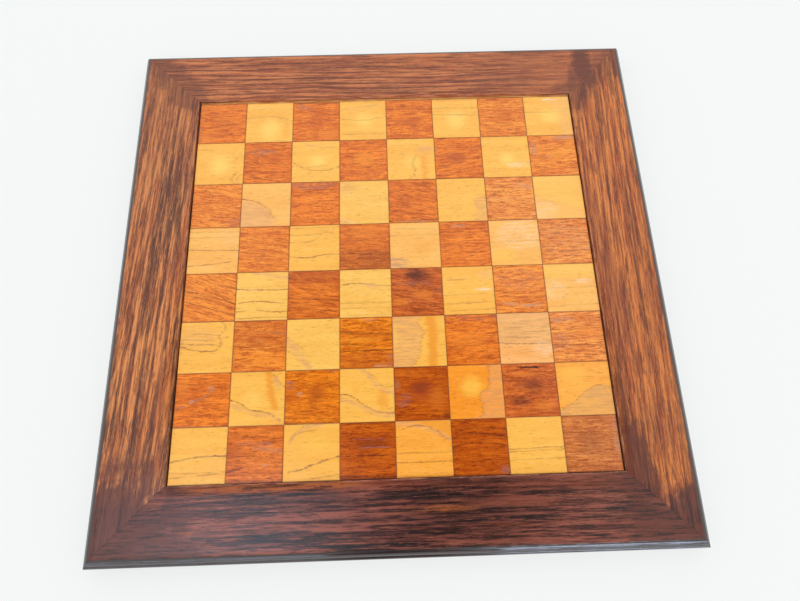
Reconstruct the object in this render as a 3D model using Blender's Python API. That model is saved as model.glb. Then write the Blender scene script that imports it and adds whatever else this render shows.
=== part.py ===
"""A framed wooden chess board: a mitred, moulded frame around an inlaid panel of sixty-four squares.

The origin is at the bottom centre, +Y points to the far rank and +Z points up.
Files a to h run from left to right and ranks 1 to 8 from the front to the back.
"""

import math

import bmesh
import bpy

# Playing field
SQUARE = 0.050
COUNT = 8
FIELD_HALF = SQUARE * COUNT / 2
GAP = 0.0003  # between pieces that touch in the real board
CUT_MARGIN = 0.010  # how far a cutter runs past what it cuts
WELD = 0.00001

# The frame's opening, and the panel a little off its middle
FIELD_SHIFT = (0.0002, -0.0010)
INNER_HALF = FIELD_HALF + 0.0014
RAIL_WIDTH = 0.065
OUTER_HALF = INNER_HALF + RAIL_WIDTH

# Heights, from the table upwards
FOOT_HEIGHT = 0.002
RAIL_BOTTOM = FOOT_HEIGHT + GAP
RAIL_HEIGHT = 0.020
RAIL_TOP = RAIL_BOTTOM + RAIL_HEIGHT
RECESS = 0.0025
FIELD_TOP = RAIL_TOP - RECESS
SQUARE_DEPTH = 0.004
FILLER_DROP = 0.0004
CARRIER_DEPTH = 0.001
CARRIER_TOP = FIELD_TOP - SQUARE_DEPTH - GAP
CARRIER_BOTTOM = CARRIER_TOP - CARRIER_DEPTH
SUBSTRATE_TOP = CARRIER_BOTTOM - GAP
SUBSTRATE_DEPTH = 0.010
SUBSTRATE_BOTTOM = SUBSTRATE_TOP - SUBSTRATE_DEPTH
BACKING_DEPTH = 0.0009
BACKING_TOP = SUBSTRATE_BOTTOM - GAP

# The rail's moulded outer edge, inwards from the outside and down from the top
MOULDING_WIDTH = 0.0068
QUIRK_DROP = 0.0010
OVOLO_WIDTH = 0.0046
OVOLO_DROP = 0.0050
STEP_DROP = 0.0008
LIP_WIDTH = MOULDING_WIDTH - OVOLO_WIDTH
LIP_DROP = 0.0022
TOP_WEAR = 0.0004
BOTTOM_CHAMFER = 0.0010
ARC_STEPS = 8

# Hidden joinery
TONGUE_THICKNESS = 0.004
TONGUE_WIDTH = 0.016
TONGUE_LENGTH = 0.360
GROOVE_DEPTH = TONGUE_WIDTH / 2
SPLINE_THICKNESS = 0.004
SPLINE_WIDTH = 0.018
SPLINE_LENGTH = 0.052
SPLINE_MIDDLE = (INNER_HALF + OUTER_HALF) / 2
TONGUE_HEIGHT = (SUBSTRATE_TOP + SUBSTRATE_BOTTOM) / 2

FOOT_RADIUS = 0.010
FOOT_SIDES = 40
FOOT_X = 0.205
FOOT_Y = 0.232

# Each side's turn from the front, and the corner at its clockwise end, in degrees
SIDES = {"front": 0, "right": 90, "back": 180, "left": 270}
CORNERS = {"front_left": 0, "front_right": 90, "back_right": 180, "back_left": 270}
SPLINE_HEIGHT = RAIL_BOTTOM + RAIL_HEIGHT * 0.35
COLOURS = {
    "rail": ((0.085, 0.026, 0.013), 0.35),
    "light_square": ((0.80, 0.44, 0.10), 0.40),
    "dark_squares": ((0.36, 0.085, 0.020), 0.40),
    "substrate": ((0.52, 0.36, 0.20), 0.70),
    "backing": ((0.40, 0.22, 0.11), 0.65),
    "tongue": ((0.56, 0.38, 0.22), 0.70),
    "spline": ((0.50, 0.33, 0.18), 0.70),
    "filler": ((0.62, 0.33, 0.14), 0.55),
    "foot": ((0.030, 0.045, 0.030), 0.95),
}


def clear_scene():
    for item in list(bpy.data.objects):
        bpy.data.objects.remove(item, do_unlink=True)


def new_collection(name):
    collection = bpy.data.collections.new(name)
    bpy.context.scene.collection.children.link(collection)
    return collection


def move_to(item, collection):
    for holder in list(item.users_collection):
        holder.objects.unlink(item)
    collection.objects.link(item)


def paint(item, kind):
    """Each piece has its own material in its kind's colour."""
    colour, roughness = COLOURS[kind]
    material = bpy.data.materials.new(item.name)
    material.use_nodes = True
    shader = material.node_tree.nodes["Principled BSDF"]
    shader.inputs["Base Color"].default_value = (*colour, 1.0)
    shader.inputs["Roughness"].default_value = roughness
    item.data.materials.clear()
    item.data.materials.append(material)


def make_box(name, low, high, collection):
    """A box from its lowest to its highest corner, with its origin at its middle."""
    middle = [(a + b) / 2 for a, b in zip(low, high)]
    bpy.ops.mesh.primitive_cube_add(size=1, location=middle)
    box = bpy.context.object
    box.name = name
    box.scale = [b - a for a, b in zip(low, high)]
    bpy.ops.object.transform_apply(location=False, rotation=False, scale=True)
    move_to(box, collection)
    return box


def make_cutter(name, low, high, turn=0.0):
    cutter = make_box(name, low, high, cutters)
    cutter.rotation_euler[2] = turn
    cutter.hide_render = True
    cutter.display_type = "WIRE"
    return cutter


def cut(item, cutter, operation="DIFFERENCE"):
    boolean = item.modifiers.new(cutter.name, "BOOLEAN")
    boolean.operation = operation
    boolean.solver = "EXACT"
    boolean.object = cutter


def quarter(middle, across, up, start):
    """Points on a quarter of an ellipse, turning clockwise from an angle in degrees."""
    points = []
    for step in range(ARC_STEPS + 1):
        angle = math.radians(start - 90 * step / ARC_STEPS)
        points.append((middle[0] + across * math.cos(angle), middle[1] + up * math.sin(angle)))
    return points


def rail_section():
    """The rail's outline: distance out from its inner face, and height, clockwise from the top."""
    width = RAIL_WIDTH
    arris = width - MOULDING_WIDTH
    ovolo_top = RAIL_TOP - QUIRK_DROP
    ovolo_bottom = ovolo_top - OVOLO_DROP
    lip_top = ovolo_bottom - STEP_DROP
    groove_low = TONGUE_HEIGHT - TONGUE_THICKNESS / 2 - GAP
    groove_high = TONGUE_HEIGHT + TONGUE_THICKNESS / 2 + GAP
    outline = [(0.0, RAIL_TOP - TOP_WEAR), (TOP_WEAR, RAIL_TOP)]
    outline += [(arris - TOP_WEAR, RAIL_TOP), (arris, RAIL_TOP - TOP_WEAR)]
    outline += quarter((arris, ovolo_bottom), OVOLO_WIDTH, OVOLO_DROP, 90)
    outline += quarter((width - LIP_WIDTH, lip_top - LIP_DROP), LIP_WIDTH, LIP_DROP, 90)
    outline += [(width, RAIL_BOTTOM + BOTTOM_CHAMFER), (width - BOTTOM_CHAMFER, RAIL_BOTTOM)]
    outline += [(0.0, RAIL_BOTTOM), (0.0, groove_low), (GROOVE_DEPTH + GAP, groove_low)]
    outline += [(GROOVE_DEPTH + GAP, groove_high), (0.0, groove_high)]
    return outline


def outline_to_mesh(name, points, thickness):
    """A flat closed outline, given thickness either side of its own plane."""
    curve = bpy.data.curves.new(name, "CURVE")
    curve.dimensions = "2D"
    curve.fill_mode = "BOTH"
    curve.extrude = thickness / 2
    line = curve.splines.new("POLY")
    line.points.add(len(points) - 1)
    for spot, (x, y) in zip(line.points, points):
        spot.co = (x, y, 0.0, 1.0)
    line.use_cyclic_u = True
    holder = bpy.data.objects.new(name + "_outline", curve)
    parts.objects.link(holder)
    bpy.context.view_layer.update()
    shape = holder.evaluated_get(bpy.context.evaluated_depsgraph_get())
    mesh = bpy.data.meshes.new_from_object(shape)
    bpy.data.objects.remove(holder, do_unlink=True)
    bpy.data.curves.remove(curve)
    welded = bmesh.new()
    welded.from_mesh(mesh)
    bmesh.ops.remove_doubles(welded, verts=welded.verts, dist=WELD)
    bmesh.ops.recalc_face_normals(welded, faces=welded.faces)
    welded.to_mesh(mesh)
    welded.free()
    mesh.name = name
    return mesh


def mitre_wedge():
    """The plan of the front rail, with a joint's gap taken off both mitres, as a cutter to keep."""
    slack = GAP / math.sqrt(2)
    near, far = INNER_HALF - CUT_MARGIN, OUTER_HALF + CUT_MARGIN
    plan = [(-far + slack, -far), (far - slack, -far), (near - slack, -near), (-near + slack, -near)]
    wedge = bpy.data.objects.new("mitre_wedge", outline_to_mesh("mitre_wedge", plan, 4 * RAIL_TOP))
    cutters.objects.link(wedge)
    wedge.hide_render = True
    wedge.display_type = "WIRE"
    return wedge


def make_rails():
    """One moulded stick, mitred at both ends and turned into each of the four places."""
    stick = outline_to_mesh("moulded_stick", rail_section(), 2 * OUTER_HALF + CUT_MARGIN)
    for corner in stick.vertices:
        out, up, along = corner.co
        corner.co = (-along, -INNER_HALF - out, up)
    wedge = mitre_wedge()
    for side, turn in SIDES.items():
        rail = bpy.data.objects.new(side + "_rail", stick.copy())
        parts.objects.link(rail)
        rail.rotation_euler[2] = math.radians(turn)
        side_wedge = wedge.copy()
        side_wedge.name = side + "_mitre_wedge"
        side_wedge.rotation_euler[2] = math.radians(turn)
        cutters.objects.link(side_wedge)
        cut(rail, side_wedge, "INTERSECT")
        cut(rail, spline_slots[turn])
        cut(rail, spline_slots[(turn + 90) % 360])
        paint(rail, "rail")
    bpy.data.objects.remove(wedge, do_unlink=True)


def make_splines():
    """A loose tongue across each mitre, in a blind slot with a gap all round. Gives the slots by turn."""
    reach = SPLINE_MIDDLE * math.sqrt(2)
    half = (SPLINE_LENGTH / 2, SPLINE_WIDTH / 2, SPLINE_THICKNESS / 2)
    room = [h + GAP for h in half]
    slots = {}
    for corner, turn in CORNERS.items():
        angle = math.radians(225 + turn)
        place = (reach * math.cos(angle), reach * math.sin(angle), SPLINE_HEIGHT)
        spline = make_box("mitre_spline_" + corner, [-h for h in half], half, parts)
        spline.location = place
        spline.rotation_euler[2] = angle
        paint(spline, "spline")
        slots[turn] = make_cutter("spline_slot_" + corner, [-r for r in room], room, angle)
        slots[turn].location = place
    return slots


def side_middle(turn):
    """The middle of a rail's inner face, at the height of the panel's tongues."""
    angle = math.radians(turn - 90)
    return (INNER_HALF * math.cos(angle), INNER_HALF * math.sin(angle), TONGUE_HEIGHT)


def make_substrate():
    """The ply core that carries the squares, with a groove along each edge for the tongues."""
    x, y = FIELD_SHIFT
    low = (x - FIELD_HALF, y - FIELD_HALF, SUBSTRATE_BOTTOM)
    high = (x + FIELD_HALF, y + FIELD_HALF, SUBSTRATE_TOP)
    substrate = make_box("plywood_substrate", low, high, parts)
    half = (TONGUE_LENGTH / 2 + GAP, TONGUE_WIDTH / 2 + GAP, TONGUE_THICKNESS / 2 + GAP)
    for side, turn in SIDES.items():
        groove = make_cutter(side + "_groove", [-h for h in half], half, math.radians(turn))
        groove.location = side_middle(turn)
        cut(substrate, groove)
    paint(substrate, "substrate")
    backing_low = (low[0], low[1], BACKING_TOP - BACKING_DEPTH)
    backing = make_box("backing_veneer", backing_low, (high[0], high[1], BACKING_TOP), parts)
    paint(backing, "backing")


def make_tongues():
    """Loose strips, half in each rail's groove and half in the substrate's."""
    half = (TONGUE_LENGTH / 2, TONGUE_WIDTH / 2, TONGUE_THICKNESS / 2)
    for side, turn in SIDES.items():
        tongue = make_box(side + "_panel_tongue", [-h for h in half], half, parts)
        tongue.location = side_middle(turn)
        tongue.rotation_euler[2] = math.radians(turn)
        paint(tongue, "tongue")


def square_corners(column, row):
    """The low and high corners of one square's plan, less half a joint's gap all round."""
    x = FIELD_SHIFT[0] - FIELD_HALF + column * SQUARE
    y = FIELD_SHIFT[1] - FIELD_HALF + row * SQUARE
    return (x + GAP / 2, y + GAP / 2), (x + SQUARE - GAP / 2, y + SQUARE - GAP / 2)


def make_light_squares():
    """A light square stands wherever its column and row, both from nought, add up to an even number."""
    for column in range(COUNT):
        for row in range(COUNT):
            if (column + row) % 2 == 0:
                low, high = square_corners(column, row)
                name = f"light_square_{'abcdefgh'[column]}{row + 1}"
                top = (*high, FIELD_TOP)
                square = make_box(name, (*low, FIELD_TOP - SQUARE_DEPTH), top, parts)
                paint(square, "light_square")


def make_dark_ranks():
    """The dark squares of one rank, joined by the thin strip that lies under its light ones."""
    for row in range(COUNT):
        low, _ = square_corners(0, row)
        _, high = square_corners(COUNT - 1, row)
        name = f"dark_squares_rank_{row + 1}"
        rank = make_box(name, (*low, CARRIER_BOTTOM), (*high, FIELD_TOP), parts)
        for column in range(COUNT):
            if (column + row) % 2 == 0:
                low, high = square_corners(column, row)
                room_low = (low[0] - GAP, low[1] - CUT_MARGIN, CARRIER_TOP)
                room_high = (high[0] + GAP, high[1] + CUT_MARGIN, FIELD_TOP + CUT_MARGIN)
                cut(rank, make_cutter(f"light_room_{column}_{row}", room_low, room_high))
        paint(rank, "dark_squares")


def make_filler():
    """A thin strip that closes the wider gap behind the far rank."""
    x, y = FIELD_SHIFT
    low = (x - FIELD_HALF, y + FIELD_HALF + GAP, FIELD_TOP - SQUARE_DEPTH)
    high = (x + FIELD_HALF, INNER_HALF - GAP, FIELD_TOP - FILLER_DROP)
    paint(make_box("back_filler_strip", low, high, parts), "filler")


def make_feet():
    """Felt discs under the front and back rails, clear of the mitres."""
    for side_x, x in (("left", -FOOT_X), ("right", FOOT_X)):
        for side_y, y in (("front", -FOOT_Y), ("back", FOOT_Y)):
            place = (x, y, FOOT_HEIGHT / 2)
            bpy.ops.mesh.primitive_cylinder_add(
                vertices=FOOT_SIDES, radius=FOOT_RADIUS, depth=FOOT_HEIGHT, location=place
            )
            foot = bpy.context.object
            foot.name = f"felt_foot_{side_y}_{side_x}"
            move_to(foot, parts)
            paint(foot, "foot")


clear_scene()
parts = new_collection("chess_board")
cutters = new_collection("cutters")
spline_slots = make_splines()
make_rails()
make_substrate()
make_tongues()
make_light_squares()
make_dark_ranks()
make_filler()
make_feet()
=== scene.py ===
import math

import bpy
import numpy as np
from mathutils import Matrix, Vector


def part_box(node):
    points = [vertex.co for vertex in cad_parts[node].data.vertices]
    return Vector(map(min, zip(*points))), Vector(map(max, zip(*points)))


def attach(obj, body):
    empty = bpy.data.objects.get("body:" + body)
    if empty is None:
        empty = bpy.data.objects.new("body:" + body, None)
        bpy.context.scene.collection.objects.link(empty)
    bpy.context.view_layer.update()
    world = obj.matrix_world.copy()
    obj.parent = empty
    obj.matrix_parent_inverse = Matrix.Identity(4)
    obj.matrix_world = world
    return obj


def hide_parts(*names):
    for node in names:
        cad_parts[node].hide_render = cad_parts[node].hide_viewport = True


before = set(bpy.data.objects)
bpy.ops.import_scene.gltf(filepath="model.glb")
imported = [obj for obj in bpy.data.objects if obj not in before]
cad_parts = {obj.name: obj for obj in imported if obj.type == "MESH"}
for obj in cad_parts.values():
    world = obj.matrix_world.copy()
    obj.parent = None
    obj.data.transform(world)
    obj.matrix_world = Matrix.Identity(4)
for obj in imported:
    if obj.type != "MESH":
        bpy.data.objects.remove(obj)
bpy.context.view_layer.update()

# sizes that every piece is worked out from, all read from the frame
fileNames = "abcdefgh"
cornerLow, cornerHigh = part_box("light_square_a1")[0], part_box("light_square_h8")[1]
squareSize = (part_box("light_square_c1")[0].x - cornerLow.x) / 2
squareGap = squareSize - (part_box("light_square_a1")[1].x - cornerLow.x)
fieldLeft = cornerLow.x - squareGap / 2
fieldFront = cornerLow.y - squareGap / 2
fieldTop = cornerHigh.z
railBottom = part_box("front_rail")[0].z
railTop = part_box("front_rail")[1].z
innerHalf = -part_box("front_rail")[1].y
outerHalf = -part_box("front_rail")[0].y
railWidth = outerHalf - innerHalf


# camera above the front edge, looking down and a little back
cameraSettings = {
    "place": (-0.00215, -0.2586, fieldTop + 0.5906),
    "lookAt": (0.00833, -0.03476, fieldTop),
    "roll": math.radians(0.845),
    "lens": 29.47,
    "sensor": 36.0,
}


def makeCamera(settings):
    camera = bpy.data.objects.new("camera", bpy.data.cameras.new("camera"))
    camera.data.lens = settings["lens"]
    camera.data.sensor_width = settings["sensor"]
    place = Vector(settings["place"])
    aim = (Vector(settings["lookAt"]) - place).to_track_quat("-Z", "Y").to_matrix()
    camera.location = place
    camera.rotation_euler = (aim @ Matrix.Rotation(settings["roll"], 3, "Z")).to_euler()
    bpy.context.scene.collection.objects.link(camera)
    bpy.context.scene.camera = camera


makeCamera(cameraSettings)
print("stage: camera")


# shader maths written as plain expressions: arithmetic on an output socket adds Math nodes
class Wire:
    def __init__(self, tree, socket):
        self.tree = tree
        self.socket = socket

    def __add__(self, other):
        return self.tree.math("ADD", self, other)

    def __radd__(self, other):
        return self.tree.math("ADD", other, self)

    def __sub__(self, other):
        return self.tree.math("SUBTRACT", self, other)

    def __rsub__(self, other):
        return self.tree.math("SUBTRACT", other, self)

    def __mul__(self, other):
        return self.tree.math("MULTIPLY", self, other)

    def __rmul__(self, other):
        return self.tree.math("MULTIPLY", other, self)

    def __truediv__(self, other):
        return self.tree.math("DIVIDE", self, other)

    def __rtruediv__(self, other):
        return self.tree.math("DIVIDE", other, self)

    def __abs__(self):
        return self.tree.math("ABSOLUTE", self)

    def between(self, low, high):
        # soft step: 0 below low, 1 above high (low may be the larger one)
        return self.tree.node(
            "ShaderNodeMapRange",
            {"interpolation_type": "SMOOTHSTEP"},
            {"Value": self, "From Min": low, "From Max": high},
        )


class Tree:
    # the node tree of a material or of the room
    curveReach = 4.0    # how far a curve's values may go either way

    def __init__(self, holder):
        holder.use_nodes = True
        self.holder = holder
        self.nodes = holder.node_tree.nodes
        self.links = holder.node_tree.links

    def node(self, kind, settings=None, inputs=None, output=0):
        made = self.nodes.new(kind)
        for key, value in (settings or {}).items():
            if key == "curve":
                self.bendCurve(made.mapping, value)
            else:
                setattr(made, key, value)
        for key, value in (inputs or {}).items():
            self.feed(made.inputs[key], value)
        return Wire(self, made.outputs[output])

    def feed(self, socket, value):
        if isinstance(value, Wire):
            self.links.new(value.socket, socket)
        else:
            socket.default_value = value

    def bendCurve(self, mapping, points):
        course = mapping.curves[0].points
        course[0].location = points[0]
        course[-1].location = points[-1]
        for point in points[1:-1]:
            course.new(*point)
        mapping.extend = "HORIZONTAL"
        mapping.clip_min_x = mapping.clip_min_y = -self.curveReach
        mapping.clip_max_x = mapping.clip_max_y = self.curveReach
        mapping.update()

    def math(self, operation, first, second=None):
        inputs = {0: first} if second is None else {0: first, 1: second}
        return self.node("ShaderNodeMath", {"operation": operation}, inputs)

    def distance(self, across, along):
        return self.math("SQRT", across * across + along * along)

    def disc(self, across, along, place):
        # a soft round patch, 1 in its middle; place is its middle and its reach both ways
        middleX, middleY, reachX, reachY = place
        away = self.distance((across - middleX) / reachX, (along - middleY) / reachY)
        return away.between(1.25, 0.5)

    def mix(self, factor, first, second):
        return self.node("ShaderNodeMix", {"data_type": "RGBA"}, {0: factor, 6: first, 7: second}, 2)

    def place(self):
        return self.node("ShaderNodeTexCoord", None, None, "Object")

    def noise(self, place, seed, stretch, start=0.0, detail=2.0, roughness=0.5):
        # 0 to 1 noise, finer along an axis where stretch is larger
        scaled = self.node("ShaderNodeMapping", {"vector_type": "POINT"}, {0: place, 3: stretch})
        settings = {"noise_dimensions": "4D"}
        inputs = {"Vector": scaled, "W": seed + start, "Scale": 1.0}
        inputs |= {"Detail": detail, "Roughness": roughness}
        return self.node("ShaderNodeTexNoise", settings, inputs)

    def pack(self, x, y, z):
        return self.node("ShaderNodeCombineXYZ", None, {0: x, 1: y, 2: z})

    def split(self, vector):
        made = self.node("ShaderNodeSeparateXYZ", None, {0: vector})
        return [Wire(self, socket) for socket in made.socket.node.outputs]


def paint(code):
    # a hex colour as seen on the piece, turned into the shader's own scale
    channels = [int(code[start:start + 2], 16) / 255 for start in (0, 2, 4)]
    return tuple(c / 12.92 if c <= 0.04045 else ((c + 0.055) / 1.055) ** 2.4 for c in channels) + (1.0,)


def shift(colour, factors):
    # a colour scaled channel by channel
    return tuple(min(1.0, channel * factor) for channel, factor in zip(colour, factors)) + (1.0,)


class Finish(Tree):
    # a material with its Principled shader
    def __init__(self, name, roughness=0.4, specular=0.5):
        super().__init__(bpy.data.materials.new(name))
        self.shader = self.nodes["Principled BSDF"]
        self.set("Roughness", roughness)
        self.set("Specular IOR Level", specular)

    def set(self, name, value):
        self.feed(self.shader.inputs[name], value)

    def bump(self, height, distance, strength=1.0):
        inputs = {"Height": height, "Distance": distance, "Strength": strength}
        self.set("Normal", self.node("ShaderNodeBump", None, inputs))


# marks that the timber carries, drawn in a piece's own u and v, each from 0 to 1, and one painted highlight
# for the rails' moulding
markShades = {
    "grey": paint("a05c38"),      # weathered growth line in light timber
    "pinkGrey": paint("eeae70"),
    "tan": paint("b86c3c"),
    "pink": paint("f4bc7c"),
    "chalk": paint("f8dcb4"),     # rubbed lacquer
    "dust": paint("c89070"),
    "lilac": paint("a4685a"),
    "gold": paint("fdc850"),
    "lemon": paint("ffd268"),
    "amber": paint("f0952a"),
    "rust": paint("c4560c"),
    "brick": paint("ac461a"),
    "orange": paint("f48c2c"),
    "umber": paint("7c3810"),
    "plum": paint("6a2a18"),
    "soot": paint("38160c"),
    "honeyed": paint("f0b468"),
    "moss": paint("dfae6c"),
    "rosewash": paint("f8b068"),
    "smoke": paint("622e20"),     # stain gone dark
    "pitch": paint("1c0c0a"),
    "claret": paint("7e3a20"),
    "ember": paint("cc7030"),
    "russet": paint("d87420"),
    # painted highlight: a bluish glint of the room's light on the lacquered moulding
    "paintedSheen": paint("8c96ac"),
}

rubbedShades = ("lilac", "dust", "chalk")
heartShades = ("pinkGrey", "moss")
markSettings = {
    "spotRagged": 0.5,
    "rubbedRagged": 1.1,
    "curveRagged": 0.05,
    "spotBroken": 0.25,
    "rubbedBroken": 0.9,
    "curveBroken": 0.5,
    "heartLines": 0.25,    # fine dark lines that fill a patch of heartwood
    "endOut": 0.02,
    "endIn": 0.06,
}


def spotMask(tree, mark, u, v, wobble):
    # ellipse with a soft rim: distance from the middle after turning and scaling
    middleU, middleV, reachU, reachV = mark["shape"]
    turn = math.radians(mark.get("turn", 0))
    du, dv = u - middleU, v - middleV
    if turn:
        du, dv = du * math.cos(turn) + dv * math.sin(turn), dv * math.cos(turn) - du * math.sin(turn)
    away = tree.distance(du / reachU, dv / reachV)
    if mark["shade"] in rubbedShades:
        return (away + wobble * mark.get("ragged", markSettings["rubbedRagged"])).between(1.15, 0.75)
    size = mark["size"]
    rough = away + wobble * mark.get("ragged", markSettings["spotRagged"])
    return rough.between(1.0 + size * 6, 1.0 - min(0.9, size * 16))


def curveMask(tree, mark, u, v, wobble, tooth):
    # distance from a smooth curve through a few points, toothed along the grain
    kind, shape, size = mark["kind"], mark["shape"], mark["size"]
    toothed = u + tooth
    across, along = (toothed, v) if kind in ("rise", "edge") else (v, toothed)
    course = tree.node("ShaderNodeFloatCurve", {"curve": shape}, {"Value": along})
    away = across - course + wobble * mark.get("ragged", markSettings["curveRagged"])
    if kind in ("side", "edge"):
        return away.between(-size, size) if mark["beyond"] else away.between(size, -size)
    mask = abs(away).between(size, size * 0.25)
    low, high = shape[0][0], shape[-1][0]
    endOut, endIn = markSettings["endOut"], markSettings["endIn"]
    if low > endOut:
        mask = mask * along.between(low - endOut, low + endIn)
    if high < 1 - endOut:
        mask = mask * along.between(high + endOut, high - endIn)
    return mask


def addMarks(tree, colour, marks, u, v, streak, wobble, tooth):
    for mark in marks:
        if mark["kind"] == "spot":
            mask = spotMask(tree, mark, u, v, wobble)
        else:
            mask = curveMask(tree, mark, u, v, wobble, tooth)
        habit = "rubbed" if mark["shade"] in rubbedShades else "spot" if mark["kind"] == "spot" else "curve"
        broken = mark.get("broken", markSettings[habit + "Broken"])
        mask = mask * (1 - broken + broken * streak)
        colour = tree.mix(mask * mark["strength"], colour, markShades[mark["shade"]])
        if mark["shade"] in heartShades:
            colour = tree.mix(mask * streak * markSettings["heartLines"], colour, markShades["tan"])
    return colour


def spot(shade, strength, u, v, reachU, reachV, size=0.05, **more):
    shape = (u, v, reachU, reachV)
    return {"kind": "spot", "shade": shade, "shape": shape, "strength": strength, "size": size, **more}


def line(shade, strength, *points, size=0.018, **more):
    return {"kind": "line", "shade": shade, "shape": points, "strength": strength, "size": size, **more}


def rise(*facts, **more):
    # a line that runs from the front of a piece to its back, points as (v, u)
    return line(*facts, **more) | {"kind": "rise"}


def region(*facts, above=True, size=0.02, **more):
    # everything behind or in front of a curve
    return line(*facts, beyond=above, size=size, **more) | {"kind": "side"}


def flank(*facts, right=True, size=0.02, **more):
    # everything right or left of a curve, points as (v, u)
    return line(*facts, beyond=right, size=size, **more) | {"kind": "edge"}


print("stage: shader helpers")


# a mesh from x y z points and lists of point numbers, turned outwards by its signed volume:
# the sum over its triangles of a . (b x c), which is above 0 when they face outwards
def meshPiece(name, points, faces, material, replaced=(), sharp=40):
    points = np.asarray(points, float).reshape(-1, 3)
    blocks = [np.atleast_2d(face) for face in faces]
    volume = 0.0
    for block in blocks:
        for second in range(1, block.shape[1] - 1):
            a, b, c = points[block[:, 0]], points[block[:, second]], points[block[:, second + 1]]
            volume += np.einsum("ij,ij->i", a, np.cross(b, c)).sum()
    rows = []
    for block in blocks:
        rows += (block[:, ::-1] if volume < 0 else block).tolist()
    mesh = bpy.data.meshes.new(name)
    mesh.from_pydata(points.tolist(), [], rows)
    mesh.materials.append(material)
    mesh.shade_smooth()
    mesh.set_sharp_from_angle(angle=math.radians(sharp))
    piece = bpy.data.objects.new(name, mesh)
    bpy.context.scene.collection.objects.link(piece)
    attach(piece, "root")
    if replaced:
        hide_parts(*replaced)
    return piece


def ringFaces(rings, sides):
    # quads between neighbouring closed rings, one block, and the two end rings as caps
    ring, side = np.meshgrid(np.arange(rings - 1), np.arange(sides), indexing="ij")
    a = ring * sides + side
    b = ring * sides + (side + 1) % sides
    quads = np.stack([a, b, b + sides, a + sides], -1).reshape(-1, 4)
    first = np.arange(sides)[::-1]
    last = np.arange(sides) + (rings - 1) * sides
    return [quads, first, last]


def ripple(t, seed, waves=5):
    # smooth wander between about -1 and 1: a sum of sines with set phases
    k = np.arange(1, waves + 1)[:, None]
    return (np.sin(np.asarray(t)[None, :] * k * 2.3 + seed * k * 1.7 + k * k) / k).sum(0) / 1.6


# squares
squareSettings = {
    "arris": 0.00022,
    "cornerRadius": 0.0003,
    "foot": 0.0003,
    "rim": 0.0002,
    "rimToMiddle": 0.006,
    "tilt": 0.00003,
    "edge": (0.022, 0.004),
    "edgeDark": {"light": 0.15, "dark": 0.5},
    "relief": 0.00004,
    "lightTones": {
        "honey": "ffba4e",
        "pale": "ffb95b",
        "butter": "ffba4e",
        "cream": "ffc25a",
        "amber": "ffaa3e",
        "deep": "fd9a26",
        "rose": "ffb669",
    },
    "darkTones": {
        "orange": "fc8e2e",
        "rosy": "fc963e",
        "copper": "f07e1e",
        "chestnut": "e6781e",
        "russet": "f28412",
        "cocoa": "c85c08",
        "plum": "d66a22",
        "mocha": "d87c34",
    },
}

# each grain's fineness across, along and down a square, its seed, detail and roughness
squareGrain = {
    "slow": ((0.9, 2.2, 1.0), 0.3),
    "jag": ((11.0, 26.0, 8.0), 8.2, 3.0, 0.7),
    "streak": ((3.2, 30.0, 4.0), 1.7, 4.0, 0.75),
    "fine": ((8.0, 46.0, 9.0), 3.1, 3.0, 0.8),
    "band": ((0.7, 7.0, 1.0), 5.9, 2.0, 0.55),
    "hair": ((3.6, 30.0, 6.0), 6.6, 4.0, 0.8),
    "tooth": ((2.0, 60.0, 4.0), 4.4, 3.0, 0.7),
}

# how the dark timber's grain shades its tone: grain, where it starts and is full, strength, factors
darkWashes = [
    ("hair", 0.46, 0.4, 0.9, (0.5, 0.34, 0.3)),
    ("fine", 0.46, 0.38, 0.9, (0.42, 0.26, 0.2)),
    ("hair", 0.54, 0.62, 0.65, (1.22, 1.5, 2.2)),
    ("fine", 0.56, 0.66, 0.65, (1.25, 1.65, 3.2)),
]


def squareSlab(name, low, high, seed, material, replaced):
    # rings of a square with small round corners, carried up from the bottom and drawn in over the arris;
    # the top leans a little, by a slope of its own in x and in y
    settings = squareSettings
    arris, foot, radius = settings["arris"], settings["foot"], settings["cornerRadius"]
    turn = np.linspace(0, math.pi / 2, 4)
    quarter = np.concatenate([turn + k * math.pi / 2 for k in range(4)])
    cornerX = np.repeat([1, -1, -1, 1], len(turn))
    cornerY = np.repeat([1, 1, -1, -1], len(turn))
    swing = turn[1:]
    rims = [arris + settings["rim"], settings["rimToMiddle"]]
    insets = np.concatenate([[foot, 0.0, 0.0], arris * (1 - np.cos(swing)), rims])
    shoulder = high.z - arris
    walls = [low.z, low.z + foot, shoulder]
    heights = np.concatenate([walls, shoulder + arris * np.sin(swing), [high.z] * 2])
    middle = (low + high) / 2
    halfX, halfY = (high.x - low.x) / 2, (high.y - low.y) / 2
    x = cornerX * (halfX - radius - insets[:, None]) + radius * np.cos(quarter)
    y = cornerY * (halfY - radius - insets[:, None]) + radius * np.sin(quarter)
    leanX, leanY = math.sin(seed * 12.9), math.sin(seed * 7.3 + 2)
    lift = settings["tilt"] * (leanX * x / halfX + leanY * y / halfY - 1)
    level = heights[:, None] + 0 * x
    z = np.where(level > high.z - 2 * arris, level + lift, level)
    points = np.stack([middle.x + x, middle.y + y, z], -1)
    return meshPiece(name, points, ringFaces(len(insets), len(quarter)), material, replaced, 60)


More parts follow.
